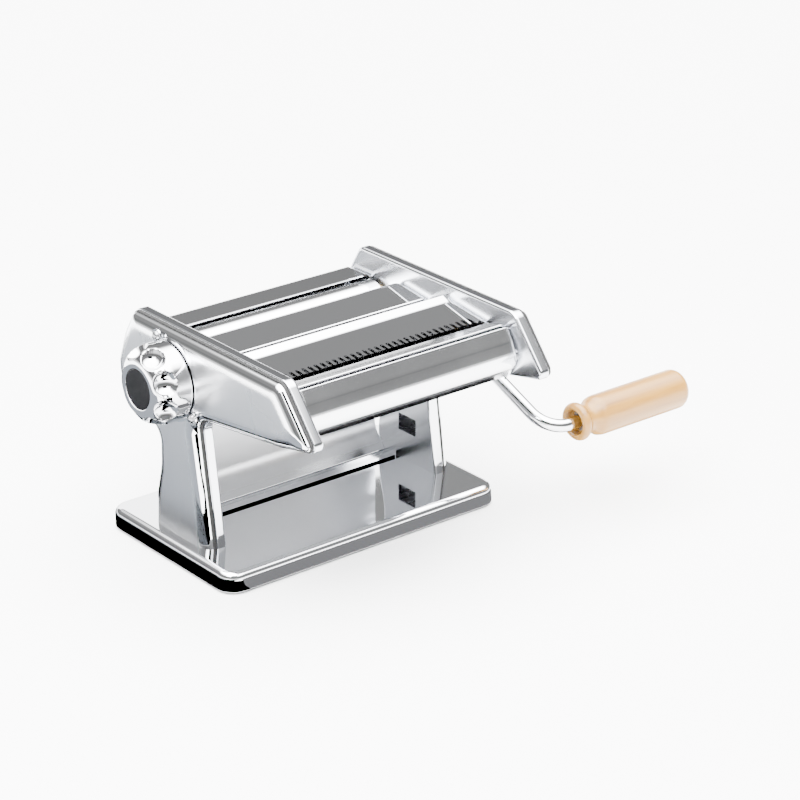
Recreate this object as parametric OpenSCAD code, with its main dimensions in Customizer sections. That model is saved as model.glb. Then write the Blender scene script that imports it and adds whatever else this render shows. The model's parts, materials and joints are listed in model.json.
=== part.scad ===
/* [Base] */
// Width of the base tray, along the rollers
base_w = 200; // [190:1:210]
// Depth of the base tray, front to back
base_d = 123; // [115:1:130]
// Height of the tray's top face above the table
base_top = 13.5; // [12:0.5:16]
// Radius of the tray's corners seen from above
base_corner = 11.5; // [8:0.5:16]
// Radius of the tray's rounded top edge
base_edge = 4.5; // [2:0.5:6]

/* [Body] */
// Distance between the inner faces of the two side plates
body_w = 154; // [152:1:158]
// Height of the side plates' top edge
head_top = 139.7; // [138:0.1:142]
// Thickness of the side plates
plate_t = 2; // [1.5:0.5:2.5]
// Distance from the middle to the joint between plate flange and cover
seam_x = 84; // [83:0.5:86]
// Distance from the middle to the covers' outer faces
cover_x = 91; // [90:0.5:92]
// Thickness of the pressed sheets
sheet_t = 1; // [0.8:0.1:1.2]

/* [Smooth rollers] */
// Radius of the two smooth rollers
roller_r = 13; // [12.5:0.1:13]
// Height of the smooth rollers' axes
roller_z = 111; // [110:0.5:112]
// Front to back place of the adjustable roller's axis when it is closed
knob_y = 1.5; // [1:0.1:2]
// Gap between the rollers when they are closed
min_gap = 0.3; // [0.2:0.1:0.5]
// How far the adjustable roller moves away
gap_travel = 2.7; // [2:0.1:2.7]
// Turn of the knob that opens the rollers fully, in degrees
knob_turn = 150; // [120:5:160]

/* [Cutters] */
// Outer radius of the cutting discs
cutter_r = 8.5; // [8.3:0.1:8.6]
// Distance between the axes of a pair of cutters
cutter_pitch = 16.2; // [16.1:0.1:16.4]
// Height of the cutters' axes
cutter_z = 112; // [111.5:0.5:112.5]
// Front to back place of the wide pair's middle
wide_y = -31.5; // [-32:0.5:-31]
// Front to back place of the fine pair's middle
fine_y = -72; // [-73:0.5:-71]
// Width of a wide noodle
wide_w = 6.5; // [6:0.5:7]
// Width of a fine noodle
fine_w = 2.125; // [2:0.125:2.25]

/* [Knob] */
// Largest radius of the knob
knob_r = 23.4; // [22:0.2:25]
// Distance from the middle to the knob cap's outer face
knob_end = 114.6; // [112:0.2:116]
// Number of finger dimples round the knob
knob_dimples = 8; // [6:1:10]
// Radius of the black cap in the knob's face
cap_r = 11.8; // [10:0.1:12]

/* [Crank] */
// Radius of the crank's steel rod
rod_r = 4; // [3.5:0.25:4]
// Distance from the middle to the plane the arm swings in
arm_x = 105; // [104:1:112]
// Distance between the drive axis and the grip's axis
throw = 136.5; // [120:0.5:140]
// Angle of the arm below the horizontal, pointing forward, in degrees
arm_drop = 22.5; // [10:0.5:60]
// Length of the wooden grip
grip_l = 86; // [80:1:95]
// Radius of the wooden grip's straight part
grip_r = 12.2; // [11:0.1:14]

/* [Hidden] */
$fn = 64;
chrome = [0.82, 0.83, 0.84];
steel = [0.62, 0.63, 0.65];
bronze = [0.70, 0.52, 0.30];
black = [0.07, 0.07, 0.08];
wood = [0.85, 0.68, 0.46];

inner_x = body_w / 2;
plate_x = inner_x + plate_t;
drive_y = knob_y + 2 * roller_r + min_gap;
roller_l = inner_x - 2.5;
gear_x = [plate_x + 1.6, plate_x + 5.2];
run = 0.05;
journal_r = 5;
pin_r = 4;
socket_r = rod_r + 0.05;
hub_r = 7;
socket_depth = 18;
mouth_x = cover_x - 0.8;
key_r = 1.25;
slot_w = 2.9;

// Where each cutter's axis lies: rear and front of the wide and the fine pair
wide_rear = wide_y + cutter_pitch / 2;
wide_front = wide_y - cutter_pitch / 2;
fine_rear = fine_y + cutter_pitch / 2;
fine_front = fine_y - cutter_pitch / 2;
cutter_core = 6.3;

// ---- outlines ---------------------------------------------------------------

function unit(v) = v / norm(v);
function left_of(v) = [-v.y, v.x];
function cross2(a, b) = a.x * b.y - a.y * b.x;
function flat(p) = [p.x, p.y];

// The points of the arc of radius r that rounds corner b between a and c
function corner(a, b, c, r, n) =
    let (
        u = unit(a - b), w = unit(c - b), half = acos(u * w) / 2,
        mid = b + unit(u + w) * r / sin(half),
        from = b + u * r / tan(half) - mid, to = b + w * r / tan(half) - mid,
        a0 = atan2(from.y, from.x), turn = atan2(cross2(from, to), from * to)
    )
    [for (i = [0 : n]) mid + r * [cos(a0 + turn * i / n), sin(a0 + turn * i / n)]];

// A path of [x, y, radius] points with its corners rounded
function rounded(p, closed = true, n = 6) =
    let (k = len(p))
    [for (i = [0 : k - 1])
        each (p[i].z <= 0 || (!closed && (i == 0 || i == k - 1)))
            ? [flat(p[i])]
            : corner(flat(p[(i + k - 1) % k]), flat(p[i]), flat(p[(i + 1) % k]), p[i].z, n)];

// The same path moved t to its left, with each radius changed to suit
function shifted(p, t, closed = true) =
    let (k = len(p))
    [for (i = [0 : k - 1])
        let (
            first = !closed && i == 0, last = !closed && i == k - 1,
            d0 = first ? [0, 0] : unit(flat(p[i]) - flat(p[(i + k - 1) % k])),
            d1 = last ? [0, 0] : unit(flat(p[(i + 1) % k]) - flat(p[i])),
            n0 = left_of(first ? d1 : d0), n1 = left_of(last ? d0 : d1),
            q = flat(p[i]) + t * (n0 + n1) / (1 + n0 * n1),
            r = p[i].z - t * sign(cross2(d0, d1))
        )
        [q.x, q.y, p[i].z > 0 ? max(r, 0.2) : 0]];

function reversed(p) = [for (i = [len(p) - 1 : -1 : 0]) p[i]];

// Closed outline of a bent sheet: a path of [y, z, radius] and its thickness
function sheet_outline(p, t) =
    concat(rounded(p, false), reversed(rounded(shifted(p, t, false), false)));

// One side of the machine, leg and head, going up the back and down the front
side_path = [
    [28.6, base_top, 0], [27.4, 32, 60], [22, 52, 40], [21.6, 71, 7], [44, 77.5, 18], [61, 94, 14],
    [61.5, 106, 16], [54.5, 124.5, 40], [45, head_top, 6], [-96.8, head_top, 9],
    [-124.8, 106.3, 4], [-94, 99.8, 60], [-17, 90.2, 8], [-28.3, base_top, 0]
];
rear_cover_path = [[34.2, 125.6, 0], [53.5, 125.6, 4], [59.5, 109, 12], [58.5, 95, 12], [44, 80, 0]];
middle_cover_path = [[14, 121, 0], [6, 129.1, 7], [-20, 126, 1], [-21.2, 121.6, 0]];
comb_cover_path = [[-36.5, 123, 0], [-38.6, 134.4, 0.8], [-45, 131.8, 8], [-73, 128.6, 0]];
front_cover_path = [
    [-77.5, 125, 0], [-78.5, 129, 1.5], [-92, 132.2, 0.8], [-92.2, 123, 0.8], [-94.4, 123, 0.8],
    [-94.8, 132.8, 0.6], [-100.2, 124.6, 16], [-105.6, 112, 12], [-95.5, 101, 0]
];
rear_panel_path = [[30, 92, 0], [30, 26, 14], [20.4, base_top + 0.7, 0]];

// ---- building blocks --------------------------------------------------------

// Extrudes a (Y, Z) outline along X from x0 to x1
module along_x(x0, x1) {
    translate([x0, 0, 0]) rotate([90, 0, 90]) linear_extrude(x1 - x0) children();
}

// A round bar along X whose axis passes through (y, z)
module bar_x(y, z, r, x0, x1) {
    translate([x0, y, z]) rotate([0, 90, 0]) cylinder(r = r, h = x1 - x0);
}

// A solid of revolution about the line along X through (y, z), from a (radius, x) outline
module spun_x(y, z) {
    translate([0, y, z]) rotate([0, 90, 0]) rotate_extrude() children();
}

module ring_x(y, z, r_in, r_out, x0, x1) {
    spun_x(y, z) translate([r_in, x0]) square([r_out - r_in, x1 - x0]);
}

module bent_sheet(p, x0 = -inner_x, x1 = inner_x) {
    along_x(x0, x1) polygon(sheet_outline(p, sheet_t));
}

// A wire coil about the local Z axis
module coil(r, wire, turns, length) {
    sides = 6;
    steps = 12 * turns;
    points = [for (i = [0 : steps], j = [0 : sides - 1])
        let (a = 360 * turns * i / steps, b = 360 * j / sides, q = r + wire * cos(b))
        [q * cos(a), q * sin(a), wire + (length - 2 * wire) * i / steps + wire * sin(b)]];
    faces = concat(
        [[for (j = [0 : sides - 1]) j]],
        [[for (j = [sides - 1 : -1 : 0]) steps * sides + j]],
        [for (i = [0 : steps - 1], j = [0 : sides - 1])
            let (a = i * sides + j, b = i * sides + (j + 1) % sides)
            each [[a, a + sides, b], [b, a + sides, b + sides]]]
    );
    polyhedron(points, faces);
}

// ---- gears ------------------------------------------------------------------

pressure = 20;
backlash = 0.5;
function inv(a) = tan(a) * 180 / PI - a;

// An involute spur gear's outline: tooth count, module and angle of its first tooth
function gear_outline(teeth, mod, start) =
    let (
        rp = teeth * mod / 2, rb = rp * cos(pressure), rt = rp + 0.98 * mod,
        low = max(rb, rp - 0.9 * mod), rr = rp - 1.22 * mod,
        half = 90 / teeth - backlash * 90 / PI / rp,
        radii = [for (i = [0 : 3]) low + (rt - low) * i / 3],
        flank = [for (r = radii) [r, half + inv(pressure) - inv(acos(rb / r))]]
    )
    [for (k = [0 : teeth - 1])
        let (a = start + 360 * k / teeth)
        each concat(
            [rr * [cos(a - flank[0][1]), sin(a - flank[0][1])]],
            [for (f = flank) f[0] * [cos(a - f[1]), sin(a - f[1])]],
            [for (i = [3 : -1 : 0]) flank[i][0] * [cos(a + flank[i][1]), sin(a + flank[i][1])]],
            [rr * [cos(a + flank[0][1]), sin(a + flank[0][1])]]
        )];

smooth_teeth = 16;
cutter_teeth = 12;
smooth_module = (2 * roller_r + min_gap) / smooth_teeth;
cutter_module = cutter_pitch / cutter_teeth;

// A gear on an axis along X; the front one of a pair is turned half a tooth
module gear(y, z, teeth, mod, x0, x1, bore, half_tooth) {
    difference() {
        translate([0, y, z]) along_x(x0, x1) polygon(gear_outline(teeth, mod, half_tooth ? 180 / teeth : 0));
        bar_x(y, z, bore, x0 - 1, x1 + 1);
    }
}

// ---- base -------------------------------------------------------------------

// Half of a section through a block whose top edge is rounded, from its middle outwards
module edge_profile(half, h, re) {
    square([half - re, h]);
    square([half, h - re]);
    translate([half - re, h - re]) circle(re);
}

// A block with round corners in plan and a round top edge
module soft_block(w, d, z0, z1, rc, re) {
    h = z1 - z0;
    translate([0, 0, z0]) {
        for (side = [0, 1]) mirror([0, side, 0]) translate([rc - w / 2, 0, 0]) rotate([90, 0, 90])
            linear_extrude(w - 2 * rc) edge_profile(d / 2, h, re);
        for (side = [0, 1]) mirror([side, 0, 0]) translate([0, d / 2 - rc, 0]) rotate([90, 0, 0])
            linear_extrude(d - 2 * rc) edge_profile(w / 2, h, re);
        for (x = [-1, 1], y = [-1, 1]) translate([x * (w / 2 - rc), y * (d / 2 - rc), 0])
            rotate_extrude() edge_profile(rc, h, re);
    }
}

// A plain block with round corners in plan
module plain_block(w, d, z0, z1, rc) {
    translate([0, 0, z0]) linear_extrude(z1 - z0) {
        square([w - 2 * rc, d], center = true);
        square([w, d - 2 * rc], center = true);
        for (x = [-1, 1], y = [-1, 1]) translate([x * (w / 2 - rc), y * (d / 2 - rc)]) circle(rc);
    }
}

foot_x = 86;
foot_y = 47;
tray_bottom = 1.5;
tray_wall = 1.2;
base_screw_y = [-20, 20];
base_screw_x = inner_x + 5;

module base_tray() {
    color(chrome) difference() {
        soft_block(base_w, base_d, tray_bottom, base_top, base_corner, base_edge);
        plain_block(base_w - 2 * tray_wall, base_d - 2 * tray_wall, 0, base_top - base_edge, base_corner - tray_wall);
        plain_block(base_w - 2 * base_edge, base_d - 2 * base_edge, 1, base_top - tray_wall, base_corner - base_edge);
        for (x = [-1, 1], y = base_screw_y)
            translate([x * base_screw_x, y, base_top - 3]) cylinder(r = 2.1, h = 6);
    }
}

module rubber_feet() {
    color(black) for (x = [-1, 1], y = [-1, 1])
        translate([x * foot_x, y * foot_y, 0]) {
            cylinder(r = 6.5, h = 3);
            cylinder(r = 5, h = base_top - 1.2);
        }
}

module base_screws() {
    color(steel) for (x = [-1, 1], y = base_screw_y)
        translate([x * base_screw_x, y, 0]) {
            translate([0, 0, base_top - 1.2 - 2.4]) cylinder(r = 3.8, h = 2.4);
            translate([0, 0, base_top - 1.3]) cylinder(r = 2, h = 5.3);
        }
}

// ---- side plates and covers -------------------------------------------------

window_y = [-9.5, 7];
window_z = [32, 43];

plate_rim = 1.5;

// A plate pressed to the side's outline, with a rim that stands out to the seam
module rimmed_plate() {
    difference() {
        along_x(inner_x, seam_x) polygon(rounded(side_path));
        along_x(plate_x, seam_x + 1) polygon(rounded(shifted(side_path, plate_rim)));
    }
}

// Openings that both side plates share
module plate_openings() {
    x0 = inner_x - 1;
    x1 = plate_x + 1;
    along_x(x0, x1) translate([window_y[0], window_z[0]])
        square([window_y[1] - window_y[0], window_z[1] - window_z[0]]);
    along_x(x0, x1) translate([knob_y - block_w / 2 - gap_travel - 0.15, roller_z - block_h / 2 - 0.1])
        square([block_w + gap_travel + 0.3, block_h + 0.2]);
    for (p = tie_places) bar_x(p.x, p.y, 3.1, x0, x1);
    for (y = [wide_rear, fine_rear]) bar_x(y, cutter_z, small_bush_r, x0, x1);
}

// The shoulder of a pressed cover in steps: where each begins, out from the middle, and how
// far it lies inside the side's outline. The cover's edge fits inside the plate's rim.
cover_steps = [
    [plate_x + 0.6, plate_rim + 0.1], [cover_x - 3.2, 2.6], [cover_x - 1.8, 4], [cover_x - 0.8, 5.8], [cover_x, 5.8]
];
cover_wall = 1.4;
brow_wall = 0.6;

// The right cover, open towards the plate
module cover_shell() {
    edge = cover_steps[0];
    brow = cover_steps[1];
    face = cover_steps[3];
    difference() {
        union() for (i = [0 : len(cover_steps) - 2])
            along_x(cover_steps[i][0], cover_steps[i + 1][0])
                polygon(rounded(shifted(side_path, cover_steps[i][1])));
        along_x(edge[0] - 1, brow[0] - brow_wall) polygon(rounded(shifted(side_path, edge[1] + cover_wall)));
        along_x(edge[0], cover_x - cover_wall) polygon(rounded(shifted(side_path, face[1] + 1)));
        foot_screw_holes(1);
    }
}

// The black seal that lies round each cover against the plate's rim
module seals() {
    color(black) for (side = [0, 1]) mirror([side, 0, 0]) difference() {
        along_x(seam_x, seam_x + 2.4) polygon(rounded(shifted(side_path, 0.7)));
        along_x(seam_x - 1, seam_x + 3) polygon(rounded(shifted(side_path, plate_rim + 0.1)));
    }
}

module foot_screw_holes(side) {
    for (y = base_screw_y) translate([side * base_screw_x, y, base_top - 1]) cylinder(r = 2.1, h = 6);
}

block_w = 13;
block_h = 13;
small_bush_r = 5.5;
hub_bush_r = 8.9;
drive_bush_r = 9.5;
tie_places = [[52, 103], [-51.7, 103], [-97.5, 114], [8, 84]];

module right_side_plate() {
    color(chrome) difference() {
        rimmed_plate();
        plate_openings();
        bar_x(drive_y, roller_z, drive_bush_r, inner_x - 1, plate_x + 1);
        for (y = [wide_front, fine_front]) bar_x(y, cutter_z, hub_bush_r, inner_x - 1, plate_x + 1);
        foot_screw_holes(1);
    }
}

module left_side_plate() {
    color(chrome) difference() {
        mirror([1, 0, 0]) rimmed_plate();
        mirror([1, 0, 0]) plate_openings();
        bar_x(drive_y, roller_z, small_bush_r + 1.5, -plate_x - 1, -inner_x + 1);
        for (y = [wide_front, fine_front]) bar_x(y, cutter_z, small_bush_r, -plate_x - 1, -inner_x + 1);
        foot_screw_holes(-1);
    }
}

module right_cover() {
    color(chrome) difference() {
        cover_shell();
        bar_x(drive_y, roller_z, hub_r + 0.8, cover_x - 3, cover_x + 1);
        for (y = [wide_front, fine_front]) bar_x(y, cutter_z, hub_r + 0.8, cover_x - 3, cover_x + 1);
    }
}

module left_cover() {
    color(chrome) difference() {
        mirror([1, 0, 0]) cover_shell();
        bar_x(knob_y, roller_z, dial_bush_r, -cover_x - 1, -cover_x + 3);
        for (p = dial_screw_places) bar_x(p.x, p.y, 1.6, -cover_x - 1, -cover_x + 3);
    }
}

// The steel sleeve behind each plate window that takes the table clamp's tongue
module clamp_socket() {
    w = window_y[1] - window_y[0];
    h = window_z[1] - window_z[0];
    color(steel) for (side = [0, 1]) mirror([side, 0, 0]) difference() {
        along_x(plate_x, plate_x + 9) translate([window_y[0] - 1.5, window_z[0] - 1.5]) square([w + 3, h + 3]);
        along_x(plate_x - 1, plate_x + 7.5) translate([window_y[0], window_z[0]]) square([w, h]);
    }
}

// ---- sheets between the sides -----------------------------------------------

module rear_panel() { color(chrome) bent_sheet(rear_panel_path); }
module rear_cover() { color(chrome) bent_sheet(reversed(rear_cover_path)); }
module middle_cover() { color(chrome) bent_sheet(middle_cover_path); }
module front_cover() { color(chrome) bent_sheet(front_cover_path); }

comb_pitch = 2 * fine_w;
comb_count = floor((body_w - 4) / comb_pitch);
notch_l = 6;

// The cover between the cutters; its front edge is notched into a comb
module comb_cover() {
    crest = comb_cover_path[2];
    edge = comb_cover_path[3];
    slope = atan2(crest.y - edge.y, crest.x - edge.x);
    color(chrome) difference() {
        bent_sheet(comb_cover_path);
        for (i = [0 : comb_count - 1])
            translate([(i - (comb_count - 1) / 2) * comb_pitch, edge.x, edge.y]) rotate([slope, 0, 0]) {
                translate([-1.1, -1, -3]) cube([2.2, notch_l - 0.1, 6]);
                translate([0, notch_l - 1.1, -3]) cylinder(r = 1.1, h = 6);
            }
    }
}

module tie_rods() {
    color(steel) for (p = tie_places) {
        bar_x(p.x, p.y, 4, -inner_x, inner_x);
        bar_x(p.x, p.y, 3, -plate_x - 3.4, plate_x + 3.4);
    }
}

module tie_nuts() {
    color(steel) for (p = tie_places, side = [0, 1]) mirror([side, 0, 0]) difference() {
        translate([plate_x, p.x, p.y]) rotate([0, 90, 0]) cylinder(r = 5, h = 3, $fn = 6);
        bar_x(p.x, p.y, 3.02, plate_x - 1, plate_x + 4);
    }
}

module roller_bushings() {
    color(bronze) {
        ring_x(drive_y, roller_z, hub_r + run, drive_bush_r - 0.02, inner_x - 0.5, plate_x + 0.6);
        ring_x(drive_y, roller_z, journal_r + run, small_bush_r + 1.48, -plate_x - 0.6, -inner_x + 0.5);
    }
}

module cutter_bushings() {
    color(bronze) {
        for (y = [wide_front, fine_front])
            ring_x(y, cutter_z, hub_r + run, hub_bush_r - 0.02, inner_x - 0.3, plate_x + 0.6);
        for (y = [wide_rear, fine_rear])
            ring_x(y, cutter_z, pin_r + run, small_bush_r - 0.02, inner_x - 0.3, plate_x + 0.6);
        for (y = [wide_rear, wide_front, fine_rear, fine_front])
            ring_x(y, cutter_z, pin_r + run, small_bush_r - 0.02, -plate_x - 0.6, -inner_x + 0.3);
    }
}

// ---- rollers ----------------------------------------------------------------

// A blade that points at a smooth roller's axis from below
module blade(y, angle, half_l) {
    translate([0, y, roller_z]) rotate([angle, 0, 0]) translate([-half_l, -0.5, -roller_r - 6.5])
        cube([2 * half_l, 1, 6.1]);
}

module rear_scraper() { color(steel) blade(drive_y, 15, inner_x); }
module front_scraper() { color(steel) blade(knob_y, -15, roller_l - 1); }

// The socket in a driving shaft's right end, with slots for the crank's cross pin
module crank_socket(y, z) {
    bar_x(y, z, socket_r, mouth_x - socket_depth, mouth_x + 1);
    translate([mouth_x - 4.5, y - slot_w / 2, z - hub_r - 1]) cube([6, slot_w, 2 * hub_r + 2]);
}

module drive_roller() {
    color(chrome) difference() {
        union() {
            bar_x(drive_y, roller_z, roller_r, -roller_l, roller_l);
            bar_x(drive_y, roller_z, journal_r, -plate_x - 0.4, -roller_l + 1);
            bar_x(drive_y, roller_z, hub_r, roller_l - 1, mouth_x);
        }
        crank_socket(drive_y, roller_z);
    }
}

module drive_gear() {
    color(steel) gear(drive_y, roller_z, smooth_teeth, smooth_module, gear_x[0], gear_x[1], hub_r, false);
}

module adjustable_roller() {
    color(chrome) {
        bar_x(knob_y, roller_z, roller_r, -roller_l + 1, roller_l - 1);
        bar_x(knob_y, roller_z, journal_r, -plate_x - 0.2, -roller_l + 2);
        bar_x(knob_y, roller_z, journal_r, roller_l - 2, gear_x[1]);
    }
}

module adjustable_gear() {
    color(steel) gear(knob_y, roller_z, smooth_teeth, smooth_module, gear_x[0], gear_x[1], journal_r, true);
}

// A bearing block that slides in a plate's slot, with a flange outside the plate
module bearing_block(flange_y0, flange_y1, flange_z1) {
    difference() {
        union() {
            along_x(inner_x - 0.1, plate_x + 0.2) translate([knob_y - block_w / 2, roller_z - block_h / 2])
                square([block_w, block_h]);
            along_x(plate_x + 0.1, plate_x + 1.3) translate([flange_y0, roller_z - 8])
                square([flange_y1 - flange_y0, flange_z1 - roller_z + 8]);
        }
        bar_x(knob_y, roller_z, journal_r + run, inner_x - 2, plate_x + 3);
    }
}

follower_r = 9;
follower_pin = 2;
follower_y = knob_y - follower_r;
spring_y = [10.5, 20.5];
spring_z = 122.5;
spring_x = plate_x + 3.4;

module right_bearing_block() { color(bronze) bearing_block(knob_y - 8.5, knob_y + 8.5, roller_z + 8); }

// The left block carries the pin that the cam drives and the tab the spring pushes
module left_bearing_block() {
    color(bronze) {
        mirror([1, 0, 0]) bearing_block(follower_y - 3.5, spring_y[0], spring_z + 3.5);
        bar_x(follower_y, roller_z, follower_pin, -cam_x[0] - 1.6, -plate_x - 1.2);
        mirror([1, 0, 0]) along_x(plate_x + 0.1, plate_x + 6.1)
            translate([spring_y[0] - 1.2, spring_z - 3.5]) square([1.2, 7]);
    }
}

// The strap that joins the two blocks under the adjustable roller
yoke_z = 90;

module roller_yoke() {
    ear = [roller_l - 0.6, inner_x - 0.2];
    color(steel) {
        along_x(-ear[1], ear[1]) translate([knob_y - 7, yoke_z]) square([14, 1.8]);
        for (side = [0, 1]) mirror([side, 0, 0]) difference() {
            along_x(ear[0], ear[1]) translate([knob_y - 7, yoke_z]) square([14, 27.4]);
            bar_x(knob_y, roller_z, journal_r + run, ear[0] - 1, ear[1] + 1);
        }
    }
}

module spring_stop() {
    color(steel) mirror([1, 0, 0]) difference() {
        along_x(plate_x, plate_x + 6.5) translate([spring_y[1], spring_z - 3.5]) square([8, 7]);
        along_x(plate_x + 1.2, plate_x + 8) translate([spring_y[1] + 1.2, spring_z - 5]) square([8, 10]);
    }
}

module yoke_spring() {
    color(steel) translate([-spring_x, spring_y[0], spring_z]) rotate([-90, 0, 0])
        coil(2.4, 0.4, 5, spring_y[1] - spring_y[0]);
}

// ---- cutters ----------------------------------------------------------------

cutter_l = inner_x - 1.5;

// A cutter's body: discs and grooves of one width, the whole set moved by half a pitch
module cutter_body(y, w, disc_first) {
    count = floor(cutter_l / w) - 1;
    spun_x(y, cutter_z) {
        translate([0, -cutter_l]) square([cutter_core, 2 * cutter_l]);
        for (i = [-count : count]) if (((i + count) % 2 == 0) == disc_first)
            translate([0, i * w - w / 2 + 0.06]) square([cutter_r, w - 0.12]);
    }
}

module cutter(y, w, driven) {
    difference() {
        union() {
            cutter_body(y, w, driven);
            bar_x(y, cutter_z, pin_r, -gear_x[1], -cutter_l + 1);
            if (driven) bar_x(y, cutter_z, pin_r, cutter_l - 1, plate_x + 0.4);
            else bar_x(y, cutter_z, hub_r, cutter_l - 1, mouth_x);
        }
        if (!driven) crank_socket(y, cutter_z);
    }
}

module cutter_gear(y, half_tooth) {
    gear(y, cutter_z, cutter_teeth, cutter_module, -gear_x[1], -gear_x[0], pin_r, half_tooth);
}

// A comb under a cutter whose fingers lie in its grooves, on the pair's inner side
module comb(y, side, w, disc_first) {
    count = floor(cutter_l / w) - 1;
    at = y + side * (cutter_core + 0.65);
    along_x(-inner_x, inner_x) translate([at - 0.35 - (side > 0 ? 3 : 0), cutter_z - 14]) square([3.7, 2]);
    for (i = [-count : count]) if (((i + count) % 2 == 0) != disc_first)
        along_x(i * w - w * 0.32, i * w + w * 0.32)
            translate([at - 0.35, cutter_z - 13]) square([0.7, 13.5]);
}

module wide_cutter_drive() { color(steel) cutter(wide_front, wide_w, false); }
module wide_cutter_driven() { color(steel) cutter(wide_rear, wide_w, true); }
module fine_cutter_drive() { color(steel) cutter(fine_front, fine_w, false); }
module fine_cutter_driven() { color(steel) cutter(fine_rear, fine_w, true); }
module wide_drive_gear() { color(steel) cutter_gear(wide_front, true); }
module wide_driven_gear() { color(steel) cutter_gear(wide_rear, false); }
module fine_drive_gear() { color(steel) cutter_gear(fine_front, true); }
module fine_driven_gear() { color(steel) cutter_gear(fine_rear, false); }
module wide_comb_rear() { color(steel) comb(wide_rear, -1, wide_w, true); }
module wide_comb_front() { color(steel) comb(wide_front, 1, wide_w, false); }
module fine_comb_rear() { color(steel) comb(fine_rear, -1, fine_w, true); }
module fine_comb_front() { color(steel) comb(fine_front, 1, fine_w, false); }

// ---- thickness knob ---------------------------------------------------------

cam_x = [85.4, 88.2];
cam_r = 15;
dial_bush_r = 8;
dial_screw_r = 26;
dial_screw_places = [for (a = [60, 222]) [knob_y + dial_screw_r * cos(a), roller_z + dial_screw_r * sin(a)]];
dial_face = cover_x + 1.2;
knob_back = dial_face + 0.5;
shaft_r = 4;
lock_r = 17;
click_count = 7;

module dial_plate() {
    color(chrome) difference() {
        union() {
            ring_x(knob_y, roller_z, dial_bush_r + 0.05, 24.5, -dial_face, -cover_x);
            for (p = dial_screw_places) bar_x(p.x, p.y, 4, -dial_face, -cover_x);
        }
        for (p = dial_screw_places) bar_x(p.x, p.y, 1.6, -dial_face - 1, -cover_x + 1);
        for (i = [0 : click_count - 1]) let (a = 90 + knob_turn * i / (click_count - 1))
            bar_x(knob_y + lock_r * cos(a), roller_z + lock_r * sin(a), 1.6, -dial_face - 1, -cover_x + 1);
    }
}

module dial_screws() {
    color(steel) for (p = dial_screw_places) {
        bar_x(p.x, p.y, 1.5, -dial_face - 0.2, -cover_x + 3);
        spun_x(p.x, p.y) intersection() {
            translate([0, -dial_face + 1.2]) circle(3.3);
            translate([0, -dial_face - 3]) square([4, 3]);
        }
    }
}

module dial_bushing() {
    color(bronze) spun_x(knob_y, roller_z) {
        translate([5 + run, -dial_face - 0.2]) square([dial_bush_r - 0.02 - 5 - run, dial_face + 0.2 - cam_x[1] - 0.4]);
        translate([5 + run, -cover_x + cover_wall]) square([4.5, cover_x - cover_wall - cam_x[1] - 0.4]);
    }
}

// The cam's spiral groove: it moves the follower pin outward evenly as the cam turns, and goes
// on a little past the pin at both ends
module cam_groove() {
    steps = 26;
    past = 18;
    half_w = follower_pin + 0.3;
    function spiral(i, dr) = let (a = (knob_turn + 2 * past) * i / steps - past,
            r = follower_r + gap_travel * a / knob_turn + dr)
        r * [cos(180 - a), sin(180 - a)];
    polygon(concat([for (i = [0 : steps]) spiral(i, half_w)],
        reversed([for (i = [0 : steps]) spiral(i, -half_w)])));
}

module cam_shaft() {
    color(steel) difference() {
        union() {
            bar_x(knob_y, roller_z, cam_r, -cam_x[1], -cam_x[0]);
            bar_x(knob_y, roller_z, 5, -knob_back - 0.3, -cam_x[1] + 0.5);
            intersection() {
                bar_x(knob_y, roller_z, shaft_r, -109, -knob_back);
                along_x(-109, -knob_back) translate([knob_y - shaft_r, roller_z - shaft_r])
                    square([2 * shaft_r, 2 * shaft_r - 1]);
            }
        }
        translate([0, knob_y, roller_z]) along_x(-cam_x[0] - 1.9, -cam_x[0] + 1) cam_groove();
        bar_x(knob_y, roller_z, 1.6, -110, -98);
    }
}

module cam_screw() {
    color(steel) {
        bar_x(knob_y, roller_z, 1.55, -109.2, -100);
        bar_x(knob_y, roller_z, 6.2, -110.6, -109);
    }
}

// The domed knob with its ring of finger dimples, hollow for its spring
module knob() {
    dome_x = 102;
    rim_r = 13.4;
    dimple = [-112, 24.5, 8]; // x, distance from the axis, radius
    color(chrome) difference() {
        spun_x(knob_y, roller_z) polygon(concat(
            [[0, -knob_back], [knob_r - 1, -knob_back], [knob_r, -knob_back - 1]],
            [for (a = [0 : 10 : 80]) [rim_r + (knob_r - rim_r) * cos(a), -dome_x - (knob_end - dome_x) * sin(a)]],
            [[rim_r, -knob_end + 0.2], [0, -knob_end + 0.2]]
        ));
        for (i = [0 : knob_dimples - 1]) rotate_about_knob(360 * (i + 0.5) / knob_dimples)
            translate([dimple.x, knob_y + dimple.y, roller_z]) rotate([0, 0, 90]) sphere(r = dimple.z);
        bar_x(knob_y, roller_z, cap_r + 0.1, -knob_end - 1, -knob_end + 2.4);
        bar_x(knob_y, roller_z, 6.5, -knob_end - 1, -99);
        intersection() {
            bar_x(knob_y, roller_z, shaft_r + 0.05, -100, -90);
            along_x(-100, -90) translate([knob_y - 5, roller_z - 5]) square([10, 5 + shaft_r - 0.9]);
        }
        bar_x(knob_y, roller_z, 5.4, -knob_back - 0.6, -knob_back + 1);
        bar_x(knob_y, roller_z + lock_r, 1.2, -knob_back - 4, -knob_back + 1);
    }
}

module rotate_about_knob(a) {
    translate([0, knob_y, roller_z]) rotate([a, 0, 0]) translate([0, -knob_y, -roller_z]) children();
}

module knob_cap() { color(black) bar_x(knob_y, roller_z, cap_r, -knob_end, -knob_end + 2.4); }
module lock_pin() { color(steel) bar_x(knob_y, roller_z + lock_r, 1.2, -knob_back - 4, -dial_face - 0.2); }

module knob_spring() {
    color(steel) translate([-109, knob_y, roller_z]) rotate([0, 90, 0]) coil(5.2, 0.5, 4, 10);
}

// ---- crank ------------------------------------------------------------------

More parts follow.
